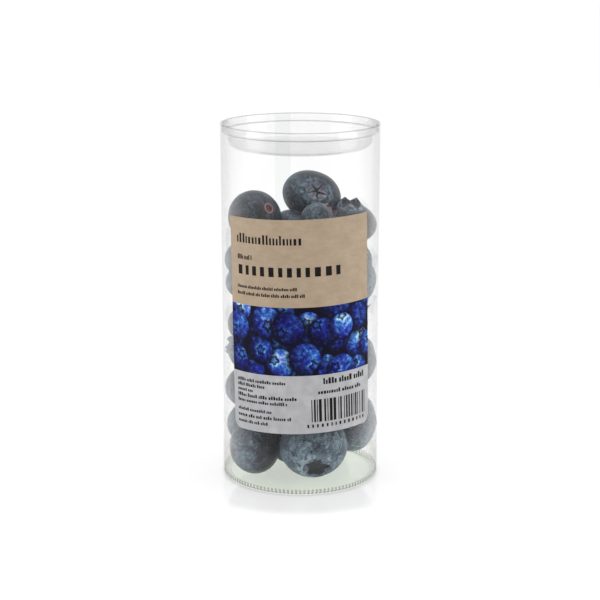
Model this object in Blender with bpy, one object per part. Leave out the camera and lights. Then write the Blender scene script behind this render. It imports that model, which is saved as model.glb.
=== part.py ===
"""A clear round tube of large blueberries: tube, base disc, plug lid, label and the heap of fruit.

Metres, +Z up, origin at the middle of the underside. The label faces -Y and the tube's glued
seam is at the back.
"""

import math
import random

import bmesh
import bpy
from mathutils import Matrix, Vector

MM = 0.001

# The clear tube: a rolled sheet, lapped at the back, its foot turned in and up as a bead.
TUBE_RADIUS = 31.0 * MM
TUBE_HEIGHT = 140.8 * MM
WALL = 0.4 * MM
AROUND = 50
BEAD_WIDTH = 3.0 * MM
BEAD_HEIGHT = 1.0 * MM
BEAD_BEND = 0.9 * MM
BEAD_OUTSIDE_STEPS = 2
BEAD_INSIDE_STEPS = 1
SEAM_ANGLE = 102.5
SEAM_STEPS = 2
SEAM_LAP = 0.25 * MM

# Neighbouring pieces keep this much air between them.
GAP = 0.3 * MM

# The base disc lies inside, on the bead.
DISC_THICKNESS = 0.5 * MM
DISC_MARGIN = 0.5 * MM

# The plug lid: a collar against the tube's mouth, a ledge and a sunk cup with a round corner.
COLLAR_DEPTH = 3.4 * MM
PLUG_RADIUS = 28.0 * MM
LID_DEPTH = 9.4 * MM
PLUG_CORNER = 3.4 * MM
PLUG_STEPS = 3

# The label: a rectangle with two round lower corners, wrapped on the front, slightly askew.
LABEL_WIDTH = 61.0 * MM
LABEL_HEIGHT = 83.4 * MM
LABEL_MIDDLE_Z = 66.9 * MM
LABEL_CORNER = 3.5 * MM
LABEL_THICKNESS = 0.2 * MM
LABEL_TURN = math.radians(1.6)
LABEL_COLUMNS = 26

# The fruit: berries that show are placed by name, the rest fill the wall layer by layer.
FRUIT_RADIUS = TUBE_RADIUS - WALL - GAP
FLOOR_Z = BEAD_HEIGHT + GAP + DISC_THICKNESS + GAP
LAYERS = 6
LAYER_RISE = 16.0 * MM
RING_COUNT = 6
FILL_WIDTH = 20.0 * MM
FILL_FLATNESS = 0.84
FILL_SPREAD = 0.07
FILL_TURN = 0.12
FILL_RISE = 2.0 * MM
FILL_TOP_Z = 89.6 * MM
CROWDED = 12.0 * MM
SEED = 7
SETTLE_ROUNDS = 300
SETTLE_SHARE = 0.4

# The heap is one solid: the berries joined to a plain core that fills the middle.
CORE_RADIUS = 19.0 * MM
CORE_TOP_Z = 103.6 * MM
CORE_SHOULDER = 8.0 * MM
CORE_AROUND = 28
CORNER_STEPS = 3
BERRY_SEGMENTS = 12
BERRY_ROWS = 7


class Berry:
    """One blueberry: a flattened ball with its crown on one end of its short axis.

    A squash under 1 makes it narrower in its second direction across that axis, after a spin about
    the axis in degrees.
    """

    def __init__(self, centre, width, flatness, crown, squash=1.0, spin=0.0):
        self.centre = Vector(centre) * MM
        self.half_width = width * MM / 2
        self.half_height = self.half_width * flatness
        self.half_depth = self.half_width * squash
        self.crown = Vector(crown).normalized()
        self.spin = math.radians(spin)

    @property
    def mean_radius(self):
        """The radius of a ball of about the same volume."""
        return (self.half_width ** 2 * self.half_height) ** (1 / 3)


# Centre (mm), width (mm), flatness and crown direction of each berry that shows.
SHOWN = [
    Berry((4.5, 4.0, 111.6), 23.9, 0.90, (0.19, -0.93, 0.33), squash=0.82, spin=-12.0),
    Berry((-17.5, -9.0, 105.5), 21.3, 0.93, (-0.57, 0.66, -0.49)),
    Berry((-3.2, -7.0, 100.2), 18.0, 0.88, (-0.3, -0.2, -0.9)),
    Berry((6.8, -16.5, 105.7), 14.0, 0.92, (0.75, -0.05, 0.66)),
    Berry((18.6, 0.0, 101.6), 23.0, 0.68, (0.12, -0.18, 1.0)),
    Berry((6.0, 17.5, 97.6), 18.5, 0.92, (-0.3, 0.6, -0.7)),
    Berry((-19.7, -4.0, 87.8), 20.2, 0.79, (0.1, -0.1, 1.0)),
    Berry((-19.9, 3.4, 77.2), 20.2, 0.79, (0.1, -0.2, -1.0)),
    Berry((-20.2, -7.0, 62.2), 17.0, 0.88, (0.3, 0.6, 0.7)),
    Berry((-19.3, 1.0, 48.4), 20.0, 0.84, (-0.95, -0.1, 0.22)),
    Berry((-20.2, -1.0, 35.8), 20.0, 0.88, (0.2, -0.4, -0.9)),
    Berry((-20.5, 3.2, 17.1), 19.0, 0.95, (0.2, 0.6, 0.8)),
    Berry((19.8, 6.5, 83.6), 18.4, 0.88, (-0.5, -0.3, 0.8)),
    Berry((19.6, -1.5, 79.2), 21.2, 0.80, (0.1, -0.3, -0.95)),
    Berry((20.9, -1.0, 47.2), 22.4, 0.82, (0.95, 0.1, 0.2)),
    Berry((19.5, 0.5, 20.9), 24.4, 0.86, (0.95, 0.2, 0.2)),
    Berry((-18.0, -11.1, 13.0), 21.8, 0.82, (0.85, 0.52, 0.05)),
    Berry((4.9, -16.2, 15.4), 26.6, 0.88, (0.14, -0.83, -0.53)),
]


def clear_scene():
    """Remove every object of the open scene."""
    for item in list(bpy.data.objects):
        bpy.data.objects.remove(item, do_unlink=True)


def plain_material(name, colour, roughness, alpha=1.0):
    """Return a Principled material of one colour, clear where alpha is under 1."""
    material = bpy.data.materials.new(name)
    material.use_nodes = True
    shader = material.node_tree.nodes["Principled BSDF"]
    shader.inputs["Base Color"].default_value = (*colour, 1.0)
    shader.inputs["Roughness"].default_value = roughness
    shader.inputs["Metallic"].default_value = 0.0
    shader.inputs["Alpha"].default_value = alpha
    return material


def add_object(name, body, material, smooth_angle=35.0):
    """Turn a finished bmesh into a smooth-shaded object of the scene."""
    bmesh.ops.recalc_face_normals(body, faces=body.faces)
    mesh = bpy.data.meshes.new(name)
    body.to_mesh(mesh)
    body.free()
    mesh.shade_smooth()
    mesh.set_sharp_from_angle(angle=math.radians(smooth_angle))
    mesh.materials.append(material)
    piece = bpy.data.objects.new(name, mesh)
    bpy.context.scene.collection.objects.link(piece)
    return piece


def turned(profile, around, swell=None):
    """Turn a closed (radius, height) profile about Z.

    A point at radius 0 becomes one pole. swell(index, step), where given, is added to the radius
    of profile point index at that step round the circle.
    """
    body = bmesh.new()
    rings = []
    for index, (radius, height) in enumerate(profile):
        if radius == 0:
            rings.append([body.verts.new((0, 0, height))] * around)
            continue
        ring = []
        for step in range(around):
            angle = 2 * math.pi * step / around
            grown = radius + (swell(index, step) if swell else 0)
            ring.append(body.verts.new((grown * math.cos(angle), grown * math.sin(angle), height)))
        rings.append(ring)
    for index, ring in enumerate(rings):
        following = rings[(index + 1) % len(rings)]
        join_rings(body, ring, following)
    return body


def join_rings(body, ring, following):
    """Fill the band between two rings of vertices, with triangles where one is a pole."""
    count = len(ring)
    for step in range(count):
        after = (step + 1) % count
        corners = [ring[step], ring[after], following[after], following[step]]
        corners = [vert for place, vert in enumerate(corners) if vert not in corners[:place]]
        if len(corners) > 2:
            body.faces.new(corners)


def round_corner(centre, radius, start, end, steps):
    """Return (radius, height) points along an arc; angles in degrees, 0 outwards, 90 up."""
    points = []
    for step in range(steps + 1):
        angle = math.radians(start + (end - start) * step / steps)
        points.append((centre[0] + radius * math.cos(angle), centre[1] + radius * math.sin(angle)))
    return points


def make_tube(material):
    """The wall, with its lap at the back and its foot turned in and up under the disc."""
    leg = TUBE_RADIUS - BEAD_WIDTH
    outer_bend = (TUBE_RADIUS - BEAD_BEND, BEAD_BEND)
    inner_bend = (leg + BEAD_BEND, BEAD_BEND)
    outside = [(TUBE_RADIUS, TUBE_HEIGHT)]
    outside += round_corner(outer_bend, BEAD_BEND, 0, -90, BEAD_OUTSIDE_STEPS)
    outside += round_corner(inner_bend, BEAD_BEND, -90, -180, BEAD_OUTSIDE_STEPS)
    outside += [(leg, BEAD_HEIGHT)]
    inside = [(leg + WALL, BEAD_HEIGHT)]
    inside += round_corner(inner_bend, BEAD_BEND - WALL, -180, -90, BEAD_INSIDE_STEPS)
    inside += round_corner(outer_bend, BEAD_BEND - WALL, -90, 0, BEAD_INSIDE_STEPS)
    inside += [(TUBE_RADIUS - WALL, TUBE_HEIGHT)]
    profile = outside + inside
    seam_step = round(SEAM_ANGLE / 360 * AROUND) - SEAM_STEPS // 2
    lapped = range(seam_step, seam_step + SEAM_STEPS + 1)

    def lap(index, step):
        # The first two points of the profile are the straight wall's outer side.
        return SEAM_LAP if index < 2 and step in lapped else 0

    return add_object("tube", turned(profile, AROUND, lap), material)


def make_base(material):
    """The flat clear disc that closes the bottom."""
    low = BEAD_HEIGHT + GAP
    high = low + DISC_THICKNESS
    rim = TUBE_RADIUS - WALL - DISC_MARGIN
    return add_object("base", turned([(0, high), (rim, high), (rim, low), (0, low)], AROUND), material)


def make_lid(material):
    """The plug lid: collar, ledge, sunk wall, round corner and flat floor."""
    collar = TUBE_RADIUS - WALL - GAP
    ledge_z = TUBE_HEIGHT - COLLAR_DEPTH
    floor_z = TUBE_HEIGHT - LID_DEPTH
    bend = (PLUG_RADIUS - PLUG_CORNER, floor_z + PLUG_CORNER)
    under = [(collar, TUBE_HEIGHT), (collar, ledge_z), (PLUG_RADIUS, ledge_z)]
    under += round_corner(bend, PLUG_CORNER, 0, -90, PLUG_STEPS) + [(0, floor_z)]
    over = [(0, floor_z + WALL)] + round_corner(bend, PLUG_CORNER - WALL, -90, 0, PLUG_STEPS)
    over += [(PLUG_RADIUS - WALL, ledge_z + WALL), (collar - WALL, ledge_z + WALL)]
    over += [(collar - WALL, TUBE_HEIGHT)]
    return add_object("lid", turned(under + over, AROUND), material)


def label_edges(across):
    """Return the label's low and high edge, from its middle, at a distance across it."""
    half_width, half_height = LABEL_WIDTH / 2, LABEL_HEIGHT / 2
    into_corner = max(0.0, abs(across) - (half_width - LABEL_CORNER))
    lift = LABEL_CORNER - math.sqrt(max(0.0, LABEL_CORNER ** 2 - into_corner ** 2))
    return -half_height + lift, half_height


def make_label(material):
    """The wrapped label, as a thin closed sheet just off the tube."""
    inner = TUBE_RADIUS + GAP
    body = bmesh.new()
    columns = []
    for column in range(LABEL_COLUMNS + 1):
        # Columns crowd towards both ends, where the corners are round.
        across = LABEL_WIDTH / 2 * math.sin(math.pi * (column / LABEL_COLUMNS - 0.5))
        corners = []
        for radius in (inner, inner + LABEL_THICKNESS):
            for edge in label_edges(across):
                turn = Matrix.Rotation(LABEL_TURN, 2)
                wrapped, height = turn @ Vector((across, edge))
                angle = wrapped / inner
                place = (radius * math.sin(angle), -radius * math.cos(angle), LABEL_MIDDLE_Z + height)
                corners.append(body.verts.new(place))
        inner_low, inner_high, outer_low, outer_high = corners
        columns.append([inner_low, inner_high, outer_high, outer_low])
    for column, following in zip(columns, columns[1:]):
        join_rings(body, column, following)
    body.faces.new(columns[0])
    body.faces.new(columns[-1])
    return add_object("label", body, material)


def fill_berries():
    """Return further berries along the wall, layer by layer, where no berry that shows is near."""
    chance = random.Random(SEED)
    berries = []
    distance = FRUIT_RADIUS - FILL_WIDTH / 2
    for layer in range(LAYERS):
        height = FLOOR_Z + FILL_WIDTH / 2 + layer * LAYER_RISE
        for step in range(RING_COUNT):
            angle = 2 * math.pi * (step + 0.5 * (layer % 2)) / RING_COUNT
            angle += chance.uniform(-FILL_TURN, FILL_TURN)
            rise = chance.uniform(-FILL_RISE, FILL_RISE)
            centre = Vector((distance * math.cos(angle), distance * math.sin(angle), height + rise))
            width = FILL_WIDTH * (1 + chance.uniform(-FILL_SPREAD, FILL_SPREAD))
            crown = [chance.uniform(-1, 1) for _ in range(3)]
            if all((centre - berry.centre).length > CROWDED for berry in SHOWN):
                berries.append(Berry(centre / MM, width / MM, FILL_FLATNESS, crown))
    return berries


def settle(fixed, loose):
    """Push the loose berries apart and off the fixed ones, keeping them against the wall."""
    for _ in range(SETTLE_ROUNDS):
        for berry in loose:
            push = Vector()
            for other in fixed + loose:
                between = berry.centre - other.centre
                overlap = berry.mean_radius + other.mean_radius - between.length
                if other is not berry and overlap > 0:
                    push += between.normalized() * overlap * SETTLE_SHARE
            berry.centre += push
            room = FRUIT_RADIUS - berry.half_width
            distance = math.hypot(berry.centre.x, berry.centre.y)
            berry.centre.x *= room / distance
            berry.centre.y *= room / distance
            lowest = FLOOR_Z + berry.half_width
            berry.centre.z = min(max(berry.centre.z, lowest), FILL_TOP_Z)


def ball(berry):
    """Return a berry's plain flattened ball as a hidden object to be joined to the heap."""
    body = bmesh.new()
    lean = Vector((0, 0, 1)).rotation_difference(berry.crown).to_matrix().to_4x4()
    turn = lean @ Matrix.Rotation(berry.spin, 4, "Z")
    size = Matrix.Diagonal((berry.half_width, berry.half_depth, berry.half_height, 1))
    place = Matrix.Translation(berry.centre) @ turn @ size
    bmesh.ops.create_uvsphere(body, u_segments=BERRY_SEGMENTS, v_segments=BERRY_ROWS, radius=1, matrix=place)
    mesh = bpy.data.meshes.new("berry_ball")
    body.to_mesh(mesh)
    body.free()
    mesh.shade_smooth()
    piece = bpy.data.objects.new("berry_ball", mesh)
    piece.hide_render = True
    piece.display_type = "WIRE"
    return piece


def make_berries(material):
    """The heap as one solid out to the berries' uneven outline."""
    loose = fill_berries()
    settle(SHOWN, loose)
    balls = bpy.data.collections.new("berry_balls")
    bpy.context.scene.collection.children.link(balls)
    for berry in SHOWN + loose:
        balls.objects.link(ball(berry))
    upper = (CORE_RADIUS - CORE_SHOULDER, CORE_TOP_Z - CORE_SHOULDER)
    lower = (CORE_RADIUS - CORE_SHOULDER, FLOOR_Z + CORE_SHOULDER)
    profile = [(0, CORE_TOP_Z)] + round_corner(upper, CORE_SHOULDER, 90, 0, CORNER_STEPS)
    profile += round_corner(lower, CORE_SHOULDER, 0, -90, CORNER_STEPS) + [(0, FLOOR_Z)]
    heap = add_object("berries", turned(profile, CORE_AROUND), material)
    join = heap.modifiers.new("join the berries", "BOOLEAN")
    join.operation = "UNION"
    join.operand_type = "COLLECTION"
    join.collection = balls
    join.solver = "EXACT"
    return heap


def main():
    """Build the five pieces."""
    clear_scene()
    clear_plastic = plain_material("clear_plastic", (0.93, 0.95, 0.94), 0.05, alpha=0.2)
    label_paper = plain_material("label_paper", (0.37, 0.29, 0.21), 0.7)
    blueberry_skin = plain_material("blueberry_skin", (0.035, 0.05, 0.085), 0.5)
    make_tube(clear_plastic)
    make_base(clear_plastic)
    make_lid(clear_plastic)
    make_label(label_paper)
    make_berries(blueberry_skin)


main()
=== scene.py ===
"""A clear round tube of large blueberries, with a plug lid and a wrapped paper label.

The tube is a rolled sheet of clear plastic, lapped at the back and turned in at the foot. A flat
disc closes the bottom and a moulded plug lid the top. The label's picture and words are generic:
round berries in a layout of its own, and plain blocks where lines of words would stand.
"""

from __future__ import annotations

import logging
import math
import random
from dataclasses import dataclass
from dataclasses import field
from enum import Enum
from typing import Callable
from typing import Sequence

import bmesh
import bpy
from mathutils import Euler
from mathutils import Matrix
from mathutils import Vector

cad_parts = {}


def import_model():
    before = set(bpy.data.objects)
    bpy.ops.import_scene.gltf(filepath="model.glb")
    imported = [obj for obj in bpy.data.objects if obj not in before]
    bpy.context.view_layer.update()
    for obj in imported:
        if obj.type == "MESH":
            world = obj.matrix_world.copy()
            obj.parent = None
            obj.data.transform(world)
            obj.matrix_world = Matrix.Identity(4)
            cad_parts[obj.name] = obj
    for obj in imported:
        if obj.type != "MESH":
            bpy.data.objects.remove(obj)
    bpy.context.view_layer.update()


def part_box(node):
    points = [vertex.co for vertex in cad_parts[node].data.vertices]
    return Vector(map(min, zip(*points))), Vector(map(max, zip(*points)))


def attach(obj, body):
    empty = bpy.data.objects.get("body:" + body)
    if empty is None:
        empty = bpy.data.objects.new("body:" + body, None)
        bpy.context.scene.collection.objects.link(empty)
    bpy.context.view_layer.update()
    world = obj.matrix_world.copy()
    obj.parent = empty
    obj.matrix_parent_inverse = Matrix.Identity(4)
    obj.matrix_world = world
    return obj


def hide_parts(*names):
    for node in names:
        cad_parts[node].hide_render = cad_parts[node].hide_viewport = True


MM = 0.001
BODY = "root"
PLACE = "label_place"
FORM = "berry_form"
TONE = "berry_tone"
SCAR = "berry_scar"
# the attribute that points to each berry's side with painted shade
SHADED_SIDE = "berry_worn_side"
LOG = logging.getLogger("tube")

Point = tuple[float, float]
Point3 = tuple[float, float, float]
Block = tuple[float, float, float, float]
Colour = tuple[float, float, float, float]
Body = bmesh.types.BMesh
Ring = list[bmesh.types.BMVert]
Material = bpy.types.Material
Node = bpy.types.Node
Piece = bpy.types.Object
Socket = bpy.types.NodeSocket
Tree = bpy.types.NodeTree


# ---------------------------------------------------------------- small tools


def linear(code: str) -> Colour:
    """Turn an sRGB hex colour into linear light.

    Args:
        code: six hex digits, such as "a5937f".

    Returns:
        Red, green, blue and an alpha of one.
    """
    parts = [int(code[place:place + 2], 16) / 255 for place in (0, 2, 4)]
    light = [part / 12.92 if part <= 0.04045 else ((part + 0.055) / 1.055) ** 2.4 for part in parts]
    return (light[0], light[1], light[2], 1.0)


def add_node(tree: Tree, kind: str, *values: object, **named: object) -> Node:
    """Add a node to a tree, with its settings and its inputs.

    An input takes a plain value, an sRGB hex code where it is a colour, a socket to link, or a node
    whose first output in use is linked.

    Args:
        tree: the shader or geometry tree.
        kind: the node's class name, with "ShaderNode" left out where it starts so.
        values: its first inputs in use, in order.
        named: properties of the node itself in lower case, and further inputs by their names, with
            _ for a space.

    Returns:
        The new node.
    """
    full_name = kind.startswith(("GeometryNode", "FunctionNode", "NodeGroup"))
    node = tree.nodes.new(kind if full_name else f"ShaderNode{kind}")
    for name in filter(str.islower, named):
        setattr(node, name, named[name])
    pairs = list(zip([socket for socket in node.inputs if not socket.is_unavailable], values))
    pairs += [(node.inputs[name.replace("_", " ")], value) for name, value in named.items()
              if not name.islower()]
    for socket, value in pairs:
        if isinstance(value, Node):
            value = next(output for output in value.outputs if not output.is_unavailable)
        if isinstance(value, Socket):
            tree.links.new(value, socket)
        else:
            coloured = socket.type == "RGBA" and isinstance(value, str)
            socket.default_value = linear(value) if coloured else value
    return node


def set_ramp(node: Node, *stops: tuple[float, str]) -> Node:
    """Give a colour ramp its stops.

    Args:
        node: the ramp.
        stops: position and sRGB hex colour of each stop, in rising order.

    Returns:
        The ramp.
    """
    elements = node.color_ramp.elements
    while len(elements) < len(stops):
        elements.new(1.0)
    for element, (position, code) in zip(elements, stops):
        element.position = position
        element.color = linear(code)
    return node


def start_group(name: str, kind: str, result: str, **inputs: str) -> tuple[Tree, bpy.types.NodeOutputs]:
    """Start a node group.

    Args:
        name: the group's name.
        kind: "Shader" or "Geometry".
        result: the type of its one output, which is named for it.
        inputs: the types of its inputs by their names, with _ for a space.

    Returns:
        The group's tree and the values that it is given.
    """
    tree = bpy.data.node_groups.new(name, f"{kind}NodeTree")
    for label, sort in inputs.items():
        tree.interface.new_socket(label.replace("_", " "), in_out="INPUT", socket_type=f"NodeSocket{sort}")
    tree.interface.new_socket(result, in_out="OUTPUT", socket_type=f"NodeSocket{result}")
    return tree, add_node(tree, "NodeGroupInput").outputs


def set_copies(tree: Tree, points: object, shape: Socket, **inputs: object) -> Node:
    """Set a shape on every point and make the copies real.

    Args:
        tree: the geometry tree.
        points: where the copies go.
        shape: the object that is copied.
        inputs: how each copy is turned and scaled.

    Returns:
        The last node.
    """
    copied = add_node(tree, "GeometryNodeObjectInfo", shape, True).outputs["Geometry"]
    laid = add_node(tree, "GeometryNodeInstanceOnPoints", Points=points, Instance=copied, **inputs)
    return add_node(tree, "GeometryNodeRealizeInstances", laid)


def dress_group(tree: Tree, geometry: Node, finish: Socket) -> Tree:
    """Dress a geometry tree's result and put it out.

    Args:
        tree: the geometry tree.
        geometry: the result.
        finish: the material.

    Returns:
        The finished tree.
    """
    dressed = add_node(tree, "GeometryNodeSetMaterial", Geometry=geometry, Material=finish)
    add_node(tree, "NodeGroupOutput", dressed)
    return tree


def link_object(name: str, data: bpy.types.ID) -> Piece:
    """Make an object and put it in the scene.

    Args:
        name: the object's name.
        data: its mesh, lamp or camera.

    Returns:
        The object, at the origin.
    """
    holder = bpy.data.objects.new(name, data)
    bpy.context.scene.collection.objects.link(holder)
    return holder


def points_object(name: str, places: Sequence[Sequence[float]], **attributes: Sequence) -> Piece:
    """Make an object of loose points with attributes.

    Args:
        name: the object's name.
        places: where the points are.
        attributes: each attribute's value at every point, a number or three.

    Returns:
        The object.
    """
    mesh = bpy.data.meshes.new(f"{name}_places")
    mesh.from_pydata(places, [], [])
    for label, values in attributes.items():
        if isinstance(values[0], float):
            mesh.attributes.new(label, "FLOAT", "POINT").data.foreach_set("value", values)
        else:
            flat = [part for value in values for part in value]
            mesh.attributes.new(label, "FLOAT_VECTOR", "POINT").data.foreach_set("vector", flat)
    return link_object(name, mesh)


def grow(tree: Tree, name: str, base: Piece | None = None, **values: object) -> Piece:
    """Run a geometry tree on an object and keep the result as a plain mesh.

    Args:
        tree: the geometry tree.
        name: the new piece's name.
        base: the object that the tree starts from; an empty mesh if none.
        values: the tree's inputs by name, with _ for a space. An object among them is removed.

    Returns:
        The finished piece.
    """
    base = link_object(name, bpy.data.meshes.new(name)) if base is None else base
    modifier = base.modifiers.new(name, "NODES")
    modifier.node_group = tree
    for item in tree.interface.items_tree:
        label = item.name.replace(" ", "_")
        if item.in_out == "INPUT" and label in values:
            modifier[item.identifier] = values[label]
    graph = bpy.context.evaluated_depsgraph_get()
    mesh = bpy.data.meshes.new_from_object(base.evaluated_get(graph), depsgraph=graph)
    base.modifiers.clear()
    base.data = mesh
    mesh.name = base.name
    for shape in [value for value in values.values() if isinstance(value, Piece)]:
        bpy.data.objects.remove(shape, do_unlink=True)
    return base


def mesh_object(name: str, body: Body, materials: Sequence[Material] = (), sharp: float = 40.0) -> Piece:
    """Turn a finished bmesh into a smooth-shaded object at the origin.

    Args:
        name: the object's name.
        body: the mesh in the making, which is freed.
        materials: its material slots in order.
        sharp: edges that bend more than this many degrees stay sharp.

    Returns:
        The new object.
    """
    bmesh.ops.recalc_face_normals(body, faces=body.faces)
    mesh = bpy.data.meshes.new(name)
    body.to_mesh(mesh)
    body.free()
    mesh.shade_smooth()
    mesh.set_sharp_from_angle(angle=math.radians(sharp))
    for material in materials:
        mesh.materials.append(material)
    return link_object(name, mesh)


def keep_form(body: Body) -> None:
    """Keep every point's place as the attribute that the skin's pattern reads."""
    layer = body.verts.layers.float_vector.new(FORM)
    for vert in body.verts:
        vert[layer] = vert.co


def join_rings(body: Body, ring: Ring, following: Ring) -> list[bmesh.types.BMFace | None]:
    """Join two closed rings of points with faces.

    Args:
        body: the mesh in the making.
        ring: one ring; a pole is one point, repeated.
        following: the next one, with as many points.

    Returns:
        The face after each point, or None between two poles.
    """
    faces = []
    for step in range(len(ring)):
        after = (step + 1) % len(ring)
        corners = [ring[step], following[step], following[after], ring[after]]
        corners = [vert for place, vert in enumerate(corners) if vert not in corners[:place]]
        faces.append(body.faces.new(corners) if len(corners) > 2 else None)
    return faces


def arc(centre: Point, radius: float, start: float, end: float, steps: int) -> list[Point]:
    """Return (radius, height) points along an arc.

    Args:
        centre: middle of the arc.
        radius: its radius.
        start: first angle in degrees, 0 outwards and 90 up.
        end: last angle in degrees.
        steps: number of stretches.

    Returns:
        steps + 1 points.
    """
    angles = [math.radians(start + (end - start) * step / steps) for step in range(steps + 1)]
    return [(centre[0] + radius * math.cos(a), centre[1] + radius * math.sin(a)) for a in angles]


def even_angles(count: int) -> list[float]:
    """Return angles in radians that share a full turn evenly."""
    return [2 * math.pi * step / count for step in range(count)]


def turn_profile(name: str, profile: Sequence[Point], angles: Sequence[float],
                 materials: Sequence[Material], swell: Callable[[int, float], float] | None = None,
                 slot_of: Callable[[int, float], int] | None = None) -> Piece:
    """Turn a closed (radius, height) profile about Z.

    Args:
        name: the object's name.
        profile: the section's points; one at radius 0 becomes a pole.
        angles: the turn's steps in radians, rising, all round once.
        materials: the material slots.
        swell: returns what is added to the radius of a profile point at an angle.
        slot_of: returns the slot of the face after a profile point, at the face's middle angle.

    Returns:
        The turned object.
    """
    body = bmesh.new()
    rings = []
    for index, (radius, height) in enumerate(profile):
        if radius == 0:
            rings.append([body.verts.new((0, 0, height))] * len(angles))
            continue
        grown = [radius + (swell(index, angle) if swell else 0) for angle in angles]
        rings.append([body.verts.new((reach * math.cos(angle), reach * math.sin(angle), height))
                      for reach, angle in zip(grown, angles)])
    ends = [*angles[1:], angles[0] + 2 * math.pi]
    for index, ring in enumerate(rings):
        faces = join_rings(body, ring, rings[(index + 1) % len(rings)])
        for angle, end, face in zip(angles, ends, faces):
            if face and slot_of:
                face.material_index = slot_of(index, (angle + end) / 2)
    return mesh_object(name, body, materials)


def hand_over(piece: Piece, node: str | None = None) -> None:
    """Let a finished piece ride on the body and the node it stands for.

    Args:
        piece: the finished piece.
        node: the solid that it replaces, if any.
    """
    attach(piece, BODY)
    if node:
        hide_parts(node)
    LOG.info("%s: %d faces", piece.name, len(piece.data.polygons))


# ---------------------------------------------------------------- finishes


@dataclass(frozen=True)
class Finish:
    """A finish: its name and the shader that each kind of finish builds."""

    name: str

    def surface(self, tree: Tree) -> Node:
        """Build the shader.

        Args:
            tree: the material's empty tree.

        Returns:
            The shader's last node.
        """
        raise NotImplementedError

    def material(self) -> Material:
        """Return the finish as a material."""
        material = bpy.data.materials.new(self.name)
        material.use_nodes = True
        material.node_tree.nodes.clear()
        add_node(material.node_tree, "OutputMaterial", self.surface(material.node_tree))
        return material


@dataclass(frozen=True)
class ClearPlastic(Finish):
    """Clear PET or styrene: it lets light straight through and shines more the flatter one looks.

    The glossy share and the tint both grow steeply towards grazing view, as on any clear sheet. That
    draws the rims and lays a pale veil over the fruit along the tube's sides.
    """

    tint: str = "fefefe"
    edge_tint: str = "f9f9f9"
    shine: float = 0.015
    edge_shine: float = 0.24
    full_shine: float = 0.27
    steepness: float = 3.0
    roughness: float = 0.05
    wave_height: float = 0.15 * MM
    wave_length: float = 18.0 * MM

    def surface(self, tree: Tree) -> Node:
        """Build the shader.

        Args:
            tree: the material's empty tree.

        Returns:
            The shader's last node.
        """
        facing = add_node(tree, "LayerWeight", 0.5).outputs["Facing"]
        grazing = add_node(tree, "Math", facing, self.steepness, operation="POWER")
        tint = add_node(tree, "Mix", grazing, self.tint, self.edge_tint, data_type="RGBA")
        share = add_node(tree, "MapRange", grazing, 0.0, self.full_shine, self.shine, self.edge_shine)
        place = add_node(tree, "TexCoord").outputs["Object"]
        wave = add_node(tree, "TexNoise", place, 1 / self.wave_length, 1.0)
        bump = add_node(tree, "Bump", Height=wave, Distance=self.wave_height, Strength=1.0)
        through = add_node(tree, "BsdfTransparent", tint)
        gloss = add_node(tree, "BsdfGlossy", Roughness=self.roughness, Normal=bump)
        return add_node(tree, "MixShader", share, through, gloss)


@dataclass(frozen=True)
class CutEdge(Finish):
    """The sawn or pressed edge of a clear sheet: it scatters light and reads as a grey line."""

    tint: str = "f3f4f4"
    milky: float = 0.05
    milk: str = "9fa3a4"

    def surface(self, tree: Tree) -> Node:
        """Build the shader.

        Args:
            tree: the material's empty tree.

        Returns:
            The shader's last node.
        """
        through = add_node(tree, "BsdfTransparent", self.tint)
        dull = add_node(tree, "BsdfDiffuse", self.milk)
        return add_node(tree, "MixShader", self.milky, through, dull)


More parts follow.
